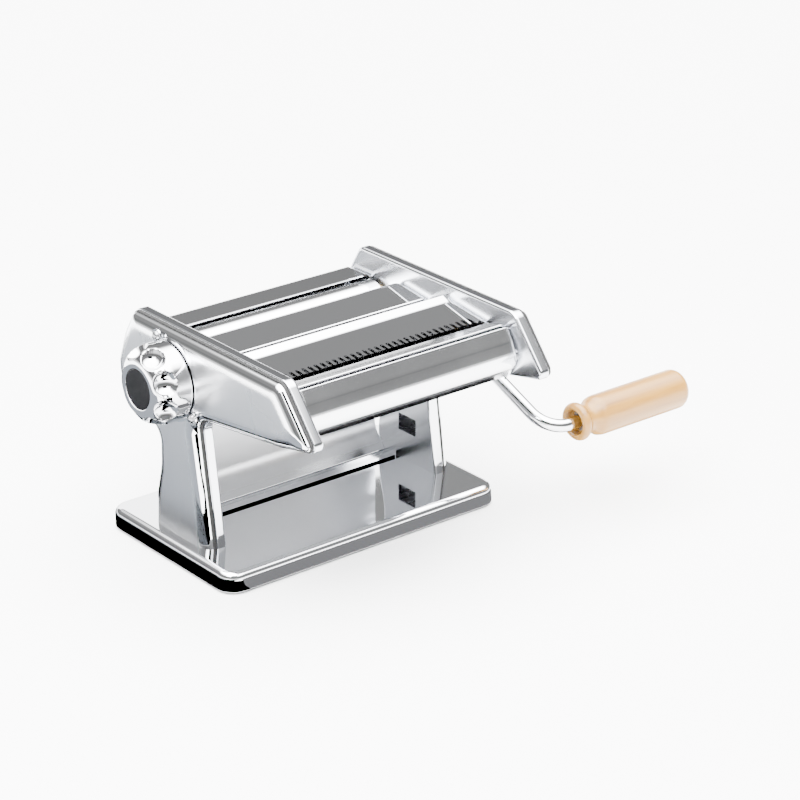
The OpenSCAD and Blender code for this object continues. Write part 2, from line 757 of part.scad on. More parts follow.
hub_bend = 12;
grip_bend = 16;
rod_in = mouth_x - socket_depth + 1;
grip_x0 = arm_x + 19.8;
grip_x1 = grip_x0 + grip_l;
grip_y = drive_y - throw * cos(arm_drop);
grip_z = roller_z - throw * sin(arm_drop);
rod_out = grip_x0 + 74;

// A straight length of the rod along X in the arm's own frame, with its seam line on the bends' side
module straight_rod(y, x0, x1) {
    translate([x0, y, 0]) rotate([0, 90, 0]) rotate([0, 0, 90]) cylinder(r = rod_r, h = x1 - x0);
}

module crank_rod() {
    color(chrome) difference() {
        translate([0, drive_y, roller_z]) rotate([arm_drop, 0, 0]) {
            straight_rod(0, rod_in, arm_x - hub_bend);
            translate([arm_x - hub_bend, -hub_bend, 0]) rotate_extrude(angle = 90)
                translate([hub_bend, 0]) circle(rod_r);
            translate([arm_x, -hub_bend, 0]) rotate([90, 0, 0])
                cylinder(r = rod_r, h = throw - hub_bend - grip_bend);
            translate([arm_x + grip_bend, grip_bend - throw, 0]) rotate([0, 0, 180])
                rotate_extrude(angle = 90) translate([grip_bend, 0]) rotate(180) circle(rod_r);
            straight_rod(-throw, arm_x + grip_bend, rod_out);
        }
        bar_crank_pin(key_r + 0.01);
    }
}

module bar_crank_pin(r) {
    translate([mouth_x - 2.6, drive_y, roller_z]) cylinder(r = r, h = 2 * hub_r - 1, center = true);
}

module crank_pin() { color(steel) bar_crank_pin(key_r); }

module grip_clip() {
    color(steel) ring_x(grip_y, grip_z, rod_r, 6.4, rod_out - 3, rod_out - 1.8);
}

// The turned grip: a collar, a neck and a straight body with a rounded end
module wooden_grip() {
    end_r = 5;
    color(wood) difference() {
        spun_x(grip_y, grip_z) {
            translate([0, grip_x0 + 3]) square([8.6, 14]);
            translate([0, grip_x0]) polygon(concat([[0, 0], [10, 0]],
                [for (a = [-60 : 20 : 80]) [9.2 + 2.4 * cos(a), 2.9 + 2.9 * sin(a)]], [[8.6, 7], [0, 7]]));
            translate([0, grip_x0 + 14]) polygon([[0, -5], [8.6, -5], [9.6, -2], [grip_r - 0.6, 0.6], [grip_r, 3], [0, 3]]);
            translate([0, grip_x0 + 16.5]) square([grip_r, grip_l - 16.5 - end_r]);
            translate([0, grip_x1 - end_r - 1]) square([grip_r - end_r, end_r + 1]);
            translate([grip_r - end_r, grip_x1 - end_r]) circle(end_r);
        }
        bar_x(grip_y, grip_z, 7.6, grip_x0 - 1, grip_x0 + 5);
        bar_x(grip_y, grip_z, 6, grip_x0 - 1, rod_out - 4);
        bar_x(grip_y, grip_z, 7, rod_out - 4.01, rod_out + 1);
    }
}

module grip_sleeve() {
    color(steel) ring_x(grip_y, grip_z, rod_r + 0.08, 5.98, grip_x0 + 5, rod_out - 4);
}

// ---- all sub-parts ----------------------------------------------------------

base_tray();
rubber_feet();
left_side_plate();
right_side_plate();
left_cover();
right_cover();
rear_panel();
rear_cover();
middle_cover();
comb_cover();
front_cover();
tie_rods();
tie_nuts();
base_screws();
seals();
roller_bushings();
cutter_bushings();
rear_scraper();
wide_comb_rear();
wide_comb_front();
fine_comb_rear();
fine_comb_front();
clamp_socket();
dial_plate();
dial_screws();
dial_bushing();
spring_stop();
yoke_spring();
drive_roller();
drive_gear();
left_bearing_block();
right_bearing_block();
roller_yoke();
front_scraper();
adjustable_roller();
adjustable_gear();
wide_cutter_drive();
wide_drive_gear();
wide_cutter_driven();
wide_driven_gear();
fine_cutter_drive();
fine_drive_gear();
fine_cutter_driven();
fine_driven_gear();
cam_shaft();
cam_screw();
knob();
knob_cap();
lock_pin();
knob_spring();
crank_rod();
crank_pin();
grip_clip();
wooden_grip();
grip_sleeve();
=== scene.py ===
"""Looks of a chromed pasta roller machine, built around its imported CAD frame.

The pieces are drawn in millimetres. Materials, cards and the camera are in metres.
"""

import json
import math

import bmesh
import bpy
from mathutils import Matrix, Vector


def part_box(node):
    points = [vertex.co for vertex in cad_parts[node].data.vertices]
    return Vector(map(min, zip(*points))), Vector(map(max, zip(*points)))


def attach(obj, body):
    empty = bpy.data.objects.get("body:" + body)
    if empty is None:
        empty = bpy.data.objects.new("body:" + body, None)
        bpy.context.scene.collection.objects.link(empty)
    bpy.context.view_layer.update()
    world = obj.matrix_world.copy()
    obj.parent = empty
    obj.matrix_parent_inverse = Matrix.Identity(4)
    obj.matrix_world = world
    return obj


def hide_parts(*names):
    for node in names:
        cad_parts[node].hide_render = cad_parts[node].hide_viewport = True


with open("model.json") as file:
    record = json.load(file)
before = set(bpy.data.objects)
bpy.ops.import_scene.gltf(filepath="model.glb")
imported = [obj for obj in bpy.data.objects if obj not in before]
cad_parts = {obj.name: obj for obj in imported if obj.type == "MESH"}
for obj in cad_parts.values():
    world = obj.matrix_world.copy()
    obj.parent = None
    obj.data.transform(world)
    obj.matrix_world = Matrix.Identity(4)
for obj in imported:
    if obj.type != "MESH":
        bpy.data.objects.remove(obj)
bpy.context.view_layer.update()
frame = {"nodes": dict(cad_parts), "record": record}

MM = 0.001

# ---- driving dimensions ---------------------------------------------------------

BASE_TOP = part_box("base_tray")[1].z / MM
BASE_W, BASE_D, BASE_CORNER = 200.0, 123.0, 11.5
TRAY_BOTTOM, TRAY_EDGE, TRAY_WALL = 1.5, 4.5, 1.2
INNER_X, PLATE_X, SEAM_X, COVER_X = 77.0, 79.0, 84.0, 91.0
HEAD_TOP = 139.7
SHEET, SIDE_GAP, SHEET_CURL, FRONT_CURL = 1.0, 0.15, 4.0, 4.5
SHOULDER, RIM = 10.5, 1.5
ROLLER_R = 13.0
KNOB_Y, DRIVE_Y, ROLLER_Z = 1.5, 27.8, 111.0
ROLLER_AXLE_R = 5.0
CUTTER_Z = 112.0
WIDE_Y, FINE_Y = (-39.6, -23.4), (-80.1, -63.9)
CUTTER_R, CUTTER_CORE, CUTTER_AXLE_R = 8.5, 6.3, 4.0
AXLE_END = 84.2
MOUTH_X, SOCKET_R, SOCKET_DEPTH, HUB_R = 90.2, 4.05, 18.0, 7.0
KNOB_R, KNOB_BACK, KNOB_END, CAP_R = 23.4, 92.7, 114.6, 11.8
KNOB_BORE_R, KNOB_SPRING_R, CAP_DEPTH = 4.05, 6.5, 2.4
DIMPLES, DIMPLE_AT, DIMPLE_X, DIMPLE_R = 8, 24.8, 111.0, 8.8
ROD_R, ARM_X, THROW, ARM_DROP = 4.0, 105.0, 136.5, 22.5
GRIP_L, GRIP_R = 86.0, 12.2
GRIP_X = ARM_X + 19.8
ROD_IN_GRIP = 74.0
ARM_ANGLE = math.radians(ARM_DROP)
GRIP_Y = DRIVE_Y - THROW * math.cos(ARM_ANGLE)
GRIP_Z = ROLLER_Z - THROW * math.sin(ARM_ANGLE)

# Outlines seen from the side, as [y, z, corner radius]
SIDE_PATH = [
    [28.6, BASE_TOP, 0], [27.4, 32, 60], [22, 52, 40], [21.6, 71, 7], [44, 77.5, 18], [61, 94, 14],
    [61.5, 106, 16], [54.5, 124.5, 40], [45, HEAD_TOP, 6], [-96.8, HEAD_TOP, 9],
    [-124.8, 106.3, 4], [-94, 99.8, 60], [-17, 90.2, 8], [-28.3, BASE_TOP, 0],
]
REAR_COVER = [[34.2, 125.6, 0], [53.5, 125.6, 4], [59.5, 109, 12], [58.5, 95, 12], [44, 80, 0]]
MIDDLE_COVER = [[14, 121, 0], [6, 129.1, 7], [-20, 126, 1], [-21.2, 121.6, 0]]
COMB_COVER = [[-36.5, 123, 0], [-38.6, 134.4, 0.8], [-45, 131.8, 8], [-73, 128.6, 0]]
FRONT_COVER = [
    [-77.5, 125, 0], [-78.5, 129, 1.5], [-92, 132.2, 0.8], [-92.2, 123, 0.8], [-94.4, 123, 0.8],
    [-94.8, 132.8, 0.6], [-100.2, 124.6, 16], [-105.6, 112, 12], [-95.5, 101, 0],
]
REAR_PANEL = [[30, 92, 0], [30, 26, 14], [20.4, BASE_TOP + 0.7, 0]]
TIP_R = 4
WINDOW_Y, WINDOW_Z = (-9.5, 7.0), (32.0, 43.0)
BLOCK_SLOT_Y, BLOCK_SLOT_Z = (KNOB_Y - 9.35, KNOB_Y + 6.65), (104.4, 117.6)
TIE_PLACES, TIE_HOLE_R = [(52, 103), (-51.7, 103), (-97.5, 114), (8, 84)], 3.1


# ---- outlines -------------------------------------------------------------------

def corner(a, b, c, radius, steps=10):
    """Points of the arc that rounds corner b between a and c."""
    u, w = (a - b).normalized(), (c - b).normalized()
    half = u.angle(w) / 2
    middle = b + (u + w).normalized() * radius / math.sin(half)
    start = b + u * radius / math.tan(half) - middle
    end = b + w * radius / math.tan(half) - middle
    a0 = math.atan2(start.y, start.x)
    turn = math.atan2(start.x * end.y - start.y * end.x, start.dot(end))
    return [middle + radius * Vector((math.cos(a0 + turn * i / steps), math.sin(a0 + turn * i / steps)))
            for i in range(steps + 1)]


def rounded(path):
    """An open [y, z, radius] path with its corners rounded, as a list of 2-D vectors."""
    out, last = [], len(path) - 1
    for i, (y, z, radius) in enumerate(path):
        if radius <= 0 or i in (0, last):
            out.append(Vector((y, z)))
            continue
        out += corner(Vector(path[i - 1][:2]), Vector((y, z)), Vector(path[i + 1][:2]), radius)
    return out


def shifted(path, t):
    """An open path moved t to its left, with each radius changed to suit."""
    out, last = [], len(path) - 1
    for i, (y, z, radius) in enumerate(path):
        here = Vector((y, z))
        d0 = (here - Vector(path[i - 1][:2])).normalized() if i else None
        d1 = (Vector(path[i + 1][:2]) - here).normalized() if i < last else None
        d0, d1 = d0 or d1, d1 or d0
        n0, n1 = Vector((-d0.y, d0.x)), Vector((-d1.y, d1.x))
        turn = d0.x * d1.y - d0.y * d1.x
        q = here + t * (n0 + n1) / (1 + n0.dot(n1))
        side = 1 if turn > 0 else -1
        out.append([q.x, q.y, max(radius - t * side, 0.4) if radius > 0 else 0])
    return out


def side_ring(inset):
    """The side's outline moved inward, with soft upper corners and its foot kept on the base."""
    soft = 1.1 * inset
    path = shifted(SIDE_PATH, inset)
    for point, first in zip(path, SIDE_PATH):
        if first[1] == HEAD_TOP:
            point[2] = max(point[2], soft)
        elif first[2] == TIP_R:
            point[2] = max(point[2], min(soft, TIP_R + 1))
    path[0][1] = path[-1][1] = BASE_TOP
    return rounded(path)


# ---- meshes ---------------------------------------------------------------------

def piece(name, verts, faces, body, material, slot, stands_for=(), sharp=30):
    """A finished piece: it is smooth but for edges sharper than an angle, and rides on a CAD body."""
    mesh = bpy.data.meshes.new(name)
    mesh.from_pydata([Vector(v) * MM for v in verts], [], faces)
    obj = bpy.data.objects.new(name, mesh)
    bpy.context.scene.collection.objects.link(obj)
    finish_mesh(obj, sharp)
    mesh.materials.append(material)
    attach(obj, body)
    if stands_for:
        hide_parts(*stands_for)
    return obj


def finish_mesh(obj, sharp):
    """Merges doubles, turns faces outward, marks sharp edges and weights the normals by face size."""
    bm = bmesh.new()
    bm.from_mesh(obj.data)
    bmesh.ops.remove_doubles(bm, verts=bm.verts, dist=0.002 * MM)
    bmesh.ops.dissolve_degenerate(bm, edges=bm.edges, dist=0.001 * MM)
    bmesh.ops.recalc_face_normals(bm, faces=bm.faces)
    limit = math.radians(sharp)
    for edge in bm.edges:
        edge.smooth = len(edge.link_faces) == 2 and edge.calc_face_angle(0) < limit
    for face in bm.faces:
        face.smooth = True
    bm.to_mesh(obj.data)
    bm.free()
    if "weights" not in obj.modifiers:
        weights = obj.modifiers.new("weights", "WEIGHTED_NORMAL")
        weights.keep_sharp = True
        weights.weight = 90


def loft(rings, cap_first=True, cap_last=True):
    """Vertices and quads between rings of equal length, with a cap on either end ring."""
    k = len(rings[0])
    verts = [v for ring in rings for v in ring]
    faces = []
    for i in range(len(rings) - 1):
        for j in range(k):
            a, b = i * k + j, i * k + (j + 1) % k
            faces.append((a, b, b + k, a + k))
    if cap_first:
        faces.append(tuple(range(k)))
    if cap_last:
        faces.append(tuple((len(rings) - 1) * k + j for j in range(k)))
    return verts, faces


def joined(lofts):
    """Several lofts as one set of vertices and faces."""
    verts, faces = [], []
    for more, loop in lofts:
        faces += [tuple(i + len(verts) for i in f) for f in loop]
        verts += more
    return verts, faces


def lathe(profile, y, z, steps=96, hollow=False):
    """Turns (radius, x) points round the line along X through (y, z); a hollow profile closes on itself."""
    turn = [2 * math.pi * j / steps for j in range(steps)]
    if hollow:
        profile = profile + [profile[0]]
    rings = [[(x, y + r * math.cos(a), z + r * math.sin(a)) for a in turn] for r, x in profile]
    ends = (profile[0][0] > 0, profile[-1][0] > 0)
    return loft(rings, cap_first=ends[0] and not hollow, cap_last=ends[1] and not hollow)


def angles(step, count):
    """Angles from zero in equal steps of so many degrees."""
    return [math.radians(step * i) for i in range(count)]


def arc(cx, cy, radius, start, end, steps):
    """Points of an arc, its angles in degrees."""
    return [(cx + radius * math.cos(math.radians(start + (end - start) * i / steps)),
             cy + radius * math.sin(math.radians(start + (end - start) * i / steps)))
            for i in range(steps + 1)]


def cut(obj, tools, sharp=30):
    """Takes the tools' solids out of a piece and leaves one plain mesh."""
    for tool in tools:
        step = obj.modifiers.new("cut", "BOOLEAN")
        step.object = tool
        step.operation = "DIFFERENCE"
        step.solver = "EXACT"
        with bpy.context.temp_override(object=obj, active_object=obj, selected_objects=[obj]):
            obj.modifiers.move(len(obj.modifiers) - 1, 0)
            bpy.ops.object.modifier_apply(modifier=step.name)
        bpy.data.objects.remove(tool)
    finish_mesh(obj, sharp)


def tool_mesh(verts, faces):
    """A solid that only serves to cut others."""
    mesh = bpy.data.meshes.new("tool")
    mesh.from_pydata([Vector(v) * MM for v in verts], [], faces)
    obj = bpy.data.objects.new("tool", mesh)
    bpy.context.scene.collection.objects.link(obj)
    bm = bmesh.new()
    bm.from_mesh(mesh)
    bmesh.ops.recalc_face_normals(bm, faces=bm.faces)
    bm.to_mesh(mesh)
    bm.free()
    return obj


def bar_tool(y, z, radius, x0, x1):
    """A round tool along X."""
    return tool_mesh(*lathe([(radius, x0), (radius, x1)], y, z, 64))


def box_tool(x, y, z):
    """A box tool between two values of each coordinate."""
    corners = [[(x[i], y[a], z[b]) for a, b in ((0, 0), (1, 0), (1, 1), (0, 1))] for i in (0, 1)]
    return tool_mesh(*loft(corners))


# ---- materials ------------------------------------------------------------------

BRIGHT = (0.86, 0.87, 0.89)


class Nodes:
    """A short way to write a material's node tree."""

    def __init__(self, name):
        self.material = bpy.data.materials.new(name)
        self.material.use_nodes = True
        self.tree = self.material.node_tree
        self.shader = self.tree.nodes["Principled BSDF"]
        self.place = self.add("ShaderNodeTexCoord").outputs["Object"]

    def add(self, kind, **values):
        """A node with its settings and socket values."""
        node = self.tree.nodes.new(kind)
        for key, value in values.items():
            if key in node.inputs:
                node.inputs[key].default_value = value
            else:
                setattr(node, key, value)
        return node

    def link(self, start, end):
        """A wire from an output to an input."""
        self.tree.links.new(start, end)

    def noise(self, scale, stretch=(1, 1, 1), detail=3.0):
        """Noise over the object, stretched along some axes."""
        mapping = self.add("ShaderNodeMapping")
        mapping.inputs["Scale"].default_value = stretch
        self.link(self.place, mapping.inputs["Vector"])
        noise = self.add("ShaderNodeTexNoise", Scale=scale, Detail=detail)
        self.link(mapping.outputs["Vector"], noise.inputs["Vector"])
        return noise.outputs["Fac"]

    def ranged(self, source, low, high, target, start=0.3, end=0.7):
        """Drives a socket between two values."""
        node = self.add("ShaderNodeMapRange")
        for key, value in (("From Min", start), ("From Max", end), ("To Min", low), ("To Max", high)):
            node.inputs[key].default_value = value
        self.link(source, node.inputs["Value"])
        self.link(node.outputs["Result"], target)

    def colours(self, source, stops):
        """Drives the base colour through a ramp."""
        ramp = self.add("ShaderNodeValToRGB")
        while len(ramp.color_ramp.elements) < len(stops):
            ramp.color_ramp.elements.new(0.5)
        for element, (at, colour) in zip(ramp.color_ramp.elements, stops):
            element.position = at
            element.color = (*colour, 1)
        self.link(source, ramp.inputs["Fac"])
        self.link(ramp.outputs["Color"], self.shader.inputs["Base Color"])

    def bump(self, source, strength, distance):
        """Very fine relief in the surface."""
        node = self.add("ShaderNodeBump", Strength=strength, Distance=distance)
        self.link(source, node.inputs["Height"])
        self.link(node.outputs["Normal"], self.shader.inputs["Normal"])


def chrome(name, colour, rough, wave=0.0):
    """Polished plating: faint smudges in its gloss and colour, and slight waves in the sheet."""
    n = Nodes(name)
    n.shader.inputs["Metallic"].default_value = 1.0
    smudge = n.noise(22, detail=5)
    n.ranged(smudge, rough * 0.7, rough * 1.4, n.shader.inputs["Roughness"], 0.1, 0.9)
    dim = tuple(c * 0.95 for c in colour)
    n.colours(n.noise(9, detail=4), [(0.15, dim), (0.85, colour)])
    if wave:
        n.bump(n.noise(14, detail=1), wave, 0.002)
    return n.material


def zoned_chrome(name, rough, axis, zone_at, satin, colour=BRIGHT):
    """Plating that is partly satin: satin[i] is added to its roughness at zone_at[i] metres along an axis."""
    material = chrome(name, colour, rough)
    tree = material.node_tree
    shader = tree.nodes["Principled BSDF"]
    polish = shader.inputs["Roughness"].links[0].from_socket
    place = tree.nodes.new("ShaderNodeTexCoord")
    split = tree.nodes.new("ShaderNodeSeparateXYZ")
    out = tree.nodes.new("ShaderNodeMath")
    out.operation = "ABSOLUTE"
    zone = tree.nodes.new("ShaderNodeMapRange")
    keys = ("From Min", "From Max", "To Min", "To Max")
    for key, value in zip(keys, (*zone_at, *satin)):
        zone.inputs[key].default_value = value
    total = tree.nodes.new("ShaderNodeMath")
    tree.links.new(place.outputs["Object"], split.inputs["Vector"])
    tree.links.new(split.outputs[axis], out.inputs[0])
    tree.links.new(out.outputs["Value"], zone.inputs["Value"])
    tree.links.new(polish, total.inputs[0])
    tree.links.new(zone.outputs["Result"], total.inputs[1])
    tree.links.new(total.outputs["Value"], shader.inputs["Roughness"])
    return material


def brushed(name, colour, rough, stretch):
    """Ground or turned steel with fine lines across the stretch."""
    n = Nodes(name)
    n.shader.inputs["Metallic"].default_value = 1.0
    lines = n.noise(300, stretch, 3)
    n.ranged(lines, rough * 0.7, rough * 1.3, n.shader.inputs["Roughness"])
    dark = tuple(c * 0.82 for c in colour)
    n.colours(lines, [(0.3, dark), (0.7, colour)])
    n.bump(lines, 0.08, 0.0002)
    return n.material


def plastic(name, colour, rough):
    """Moulded plastic with a very fine grain."""
    n = Nodes(name)
    grain = n.noise(900, detail=4)
    dark, light = (tuple(c * part for c in colour) for part in (0.8, 1.25))
    n.colours(grain, [(0.3, dark), (0.7, light)])
    n.ranged(n.noise(60), rough * 0.8, rough * 1.3, n.shader.inputs["Roughness"])
    n.shader.inputs["Specular IOR Level"].default_value = 0.15
    n.bump(grain, 0.05, 0.0001)
    return n.material


def rubber(name):
    """Black rubber with a fine matt grain."""
    n = Nodes(name)
    grain = n.noise(700, detail=4)
    n.colours(grain, [(0.3, (0.002, 0.002, 0.002)), (0.7, (0.006, 0.006, 0.0062))])
    n.ranged(grain, 0.6, 0.85, n.shader.inputs["Roughness"])
    n.bump(grain, 0.25, 0.0002)
    return n.material


def beech(name):
    """Varnished beech with long grain along X and short dark flecks."""
    n = Nodes(name)
    grain = n.noise(130, (0.05, 1, 1), 6)
    flecks = n.noise(520, (0.10, 1, 1), 2)
    mixed = n.add("ShaderNodeMath", operation="MULTIPLY_ADD")
    n.link(flecks, mixed.inputs[0])
    mixed.inputs[1].default_value = 0.35
    n.link(grain, mixed.inputs[2])
    tones = [(0.44, (0.19, 0.082, 0.011)), (0.60, (0.28, 0.132, 0.017)), (0.85, (0.34, 0.168, 0.024))]
    n.colours(mixed.outputs["Value"], tones)
    n.ranged(flecks, 0.30, 0.46, n.shader.inputs["Roughness"])
    n.bump(flecks, 0.12, 0.0002)
    n.shader.inputs["Coat Weight"].default_value = 0.25
    n.shader.inputs["Coat Roughness"].default_value = 0.18
    return n.material


SHEET_CHROME = chrome("sheet_chrome", BRIGHT, 0.035, wave=0.04)
SHELL_CHROME = zoned_chrome("shell_chrome", 0.035, "X", (0.0900, 0.0909), (0.0, 0.24))
PANEL_CHROME = zoned_chrome("panel_chrome", 0.05, "Z", (0.012, 0.020), (0.0, 0.30))
PLATE_CHROME = zoned_chrome("plate_chrome", 0.04, "X", (0.0771, 0.0776), (0.20, 0.0), (0.72, 0.735, 0.77))
FRONT_CHROME = chrome("front_chrome", BRIGHT, 0.12, wave=0.04)
# Near black: painted shade for the cutters, which sit in shade under the deck's slots.
CUTTER_SHADE_STEEL = chrome("cutter_shade_steel", (0.12, 0.12, 0.125), 0.25)
ROLLER_CHROME = chrome("roller_chrome", (0.85, 0.86, 0.87), 0.07)
KNOB_CHROME = chrome("knob_chrome", (0.76, 0.765, 0.78), 0.04)
TOOL_STEEL = brushed("tool_steel", (0.38, 0.385, 0.40), 0.28, (0.1, 1, 1))
BEARING_METAL = brushed("bearing_metal", (0.66, 0.47, 0.24), 0.33, (1, 0.2, 0.2))
CAP_PLASTIC = plastic("cap_plastic", (0.0012, 0.0011, 0.0015), 0.35)
# Black rubber for the feet; the rim strips also take it as painted shade at the seams.
BLACK_RUBBER_AND_SEAM_SHADE = rubber("foot_rubber")
GRIP_WOOD = beech("grip_wood")

SLOT_MATERIALS = {
    "chrome_sheet": SHEET_CHROME, "roller_steel": ROLLER_CHROME, "tool_steel": TOOL_STEEL,
    "bearing_metal": BEARING_METAL, "black_plastic": CAP_PLASTIC, "foot_rubber": BLACK_RUBBER_AND_SEAM_SHADE,
    "grip_wood": GRIP_WOOD,
}


def finish_cad_nodes():
    """Gives each CAD node that stays the finish of its material slot."""
    for part in frame["record"]["subparts"]:
        node = frame["nodes"][part["node"]]
        node.data.materials.clear()
        node.data.materials.append(SLOT_MATERIALS[part["material_slot"]])


# ---- base -----------------------------------------------------------------------

def plan_ring(inset, z):
    """A ring round the base in plan at height z, inset from its outline."""
    r = BASE_CORNER - inset
    half_w, half_d = BASE_W / 2 - inset - r, BASE_D / 2 - inset - r
    ring = []
    for quarter, (sx, sy) in enumerate(((1, 1), (-1, 1), (-1, -1), (1, -1))):
        ring += [(sx * half_w + x, sy * half_d + y, z)
                 for x, y in arc(0, 0, r, 90 * quarter, 90 * quarter + 90, 12)]
    return ring


def base_tray():
    """The pressed tray: a rounded upper edge, and a hollow underside."""
    foot = plan_ring(TRAY_WALL, TRAY_BOTTOM)
    shelf = BASE_TOP - TRAY_EDGE
    skin = [foot, plan_ring(0.4, TRAY_BOTTOM), plan_ring(0, TRAY_BOTTOM + 0.5)]
    skin += [plan_ring(TRAY_EDGE - x, shelf + z) for x, z in arc(0, 0, TRAY_EDGE, 0, 90, 12)]
    under = [foot, plan_ring(TRAY_WALL, shelf), plan_ring(TRAY_EDGE, BASE_TOP - TRAY_WALL)]
    verts, faces = joined([loft(skin, cap_first=False), loft(under, cap_first=False)])
    piece("tray", verts, faces, "root", SHEET_CHROME, "chrome_sheet", ["base_tray"])


# ---- sides ----------------------------------------------------------------------

def side_loft(rings, side, capped=True):
    """Rings of (x, inset) round the side's outline, mirrored for the left side."""
    return loft([[(side * x, p.x, p.y) for p in side_ring(inset)] for x, inset in rings], capped, capped)


def plate_tools(side):
    """What is cut out of a side plate: the clamp's window, the sliding block's slot and round holes."""
    x = sorted((side * (INNER_X - 1), side * (PLATE_X + 1)))
    tools = [box_tool(x, WINDOW_Y, WINDOW_Z), box_tool(x, BLOCK_SLOT_Y, BLOCK_SLOT_Z)]
    small_hole = 5.5
    drive_hole, front_hole = (9.5, 8.9) if side > 0 else (7.0, small_hole)
    tools.append(bar_tool(DRIVE_Y, ROLLER_Z, drive_hole, *x))
    for front, rear in (WIDE_Y, FINE_Y):
        tools += [bar_tool(front, CUTTER_Z, front_hole, *x), bar_tool(rear, CUTTER_Z, small_hole, *x)]
    return tools + [bar_tool(y, z, TIE_HOLE_R, *x) for y, z in TIE_PLACES]


def side_plate(name, side, node):
    """A side plate: flat inside, with a bent rim that ends in a rounded edge at the seam."""
    bend, edge, rim_x = 1.9, 0.9, SEAM_X - 0.2
    rings = [(PLATE_X - bend * math.cos(t), bend * (1 - math.sin(t))) for t in angles(15, 7)]
    rings += [(rim_x - edge * (1 - math.sin(t)), edge * (1 - math.cos(t))) for t in angles(18, 6)]
    rings += [(rim_x, RIM), (PLATE_X, RIM)]
    obj = piece(name, *side_loft(rings, side), "root", PLATE_CHROME, "chrome_sheet", [node])
    cut(obj, plate_tools(side))


def side_cover(name, side, node):
    """A pressed cover that sits inside the plate's rim, with one smooth shoulder to its flat face."""
    start, foot, wall = SEAM_X + 1.2, PLATE_X + 0.7, 1.2
    inset = RIM + 0.1
    rings = [(start + (COVER_X - start) * math.sin(t), inset + (SHOULDER - inset) * (1 - math.cos(t)))
             for t in angles(6, 16)]
    rings = rings[::-1] + [(foot, inset), (foot, inset + wall)]
    rings += [(COVER_X - 4, inset + 1.4), (COVER_X - wall, SHOULDER)]
    obj = piece(name, *side_loft(rings, side), "root", SHELL_CHROME, "chrome_sheet", [node])
    shaft_r, hub_r = 7.9, 7.8
    holes = [(KNOB_Y, ROLLER_Z, shaft_r)] if side < 0 else [
        (DRIVE_Y, ROLLER_Z, hub_r), (WIDE_Y[0], CUTTER_Z, hub_r), (FINE_Y[0], CUTTER_Z, hub_r)]
    x = sorted((side * (COVER_X - 3), side * (COVER_X + 1)))
    cut(obj, [bar_tool(y, z, r, *x) for y, z, r in holes])


def rim_shade_strips():
    """A black strip round each cover against its plate's rim, as painted shade for the shadow in the gap at
    the seam.
    """
    low, high = SEAM_X - 0.1, SEAM_X + 1.5
    edge, crown, ease = 0.9, 0.75, 0.3
    outline = [(low, RIM), (low, edge), (low + ease, crown), (high - ease, crown), (high, edge),
               (high, RIM), (low, RIM)]
    verts, faces = joined([side_loft(outline, side, False) for side in (-1, 1)])
    # The strips take the black rubber finish as painted shade for the seam's gap.
    piece("rim_shade_strips", verts, faces, "root", BLACK_RUBBER_AND_SEAM_SHADE, "foot_rubber", ["seals"])


# ---- sheets between the sides ---------------------------------------------------

def bent_sheet(name, path, node, curl=0.0, lean=0.0, material=SHEET_CHROME):
    """A sheet bent along a side path; its ends may curl down, and back by lean, over a few millimetres."""
    half = INNER_X - SIDE_GAP
    outer, inner = rounded(path), rounded(shifted(path, SHEET))
    loop = outer + inner[::-1]
    stations = [(-half, 0)]
    if curl:
        stations = [(-half + curl * (1 - math.sin(t)), curl * (1 - math.cos(t))) for t in angles(10, 10)]
        stations.reverse()
    stations += [(-x, drop) for x, drop in stations[::-1]]
    rings = [[(x, p.x + lean * drop, p.y - drop) for p in loop] for x, drop in stations]
    piece(name, *loft(rings), "root", material, "chrome_sheet", [node], sharp=40)


def comb_cover():
    """The cover before the fine cutter: bent at the back, with a row of notches along its front."""
    pitch, notch_r, notch_l = 4.25, 1.1, 6.0
    root_at = notch_l + 1.5
    outer, inner = rounded(COMB_COVER), rounded(shifted(COMB_COVER, SHEET))
    edge, start = outer[-1], outer[-2]
    along = (start - edge).normalized()
    down = inner[-1] - edge
    root = edge + along * root_at
    loop = outer[:-1] + [root, root + down] + inner[-2::-1]
    toothed = INNER_X - SIDE_GAP - SHEET_CURL
    parts = [loft([[(x, p.x, p.y) for p in loop] for x in (-toothed, toothed)])]
    count = int(2 * toothed / pitch) - 1
    outline = [(-toothed, root_at), (-toothed, 0.0)]
    for i in range(count):
        x = (i - (count - 1) / 2) * pitch
        outline += [(x - notch_r, 0.0), *arc(x, notch_l - notch_r, notch_r, 180, 0, 8), (x + notch_r, 0.0)]
    outline += [(toothed, 0.0), (toothed, root_at)]
    top = [(x, *(edge + along * s)) for x, s in outline]
    bottom = [(x, *(edge + along * s + down)) for x, s in outline]
    parts.append(loft([top, bottom]))
    for side in (-1, 1):
        ends = [(side * (toothed + SHEET_CURL * math.sin(t)), SHEET_CURL * (1 - math.cos(t)))
                for t in angles(10, 10)]
        parts.append(loft([[(x, p.x, p.y - drop) for p in outer + inner[::-1]] for x, drop in ends]))
    piece("comb_deck", *joined(parts), "root", SHEET_CHROME, "chrome_sheet", ["comb_cover"], sharp=40)


# ---- rollers and cutters --------------------------------------------------------

def socket_profile(body, start_x, shaft_r):
    """A shaft's outline from its left end over the body to the hub's mouth and into its socket."""
    ease, chamfer = 0.4, 0.6
    start = [(0, start_x), (shaft_r - ease, start_x), (shaft_r, start_x + ease)]
    mouth = [(HUB_R, MOUTH_X - chamfer), (HUB_R - chamfer, MOUTH_X), (SOCKET_R + ease, MOUTH_X)]
    socket = [(SOCKET_R, MOUTH_X - ease), (SOCKET_R, MOUTH_X - SOCKET_DEPTH), (0, MOUTH_X - SOCKET_DEPTH)]
    return start + body + mouth + socket


def cross_slot(y, z):
    """The slot across a hub's mouth that takes the crank's pin."""
    depth, half_w, reach = 4.5, 1.45, HUB_R + 1
    return box_tool((MOUTH_X - depth, MOUTH_X + 1), (y - half_w, y + half_w), (z - reach, z + reach))


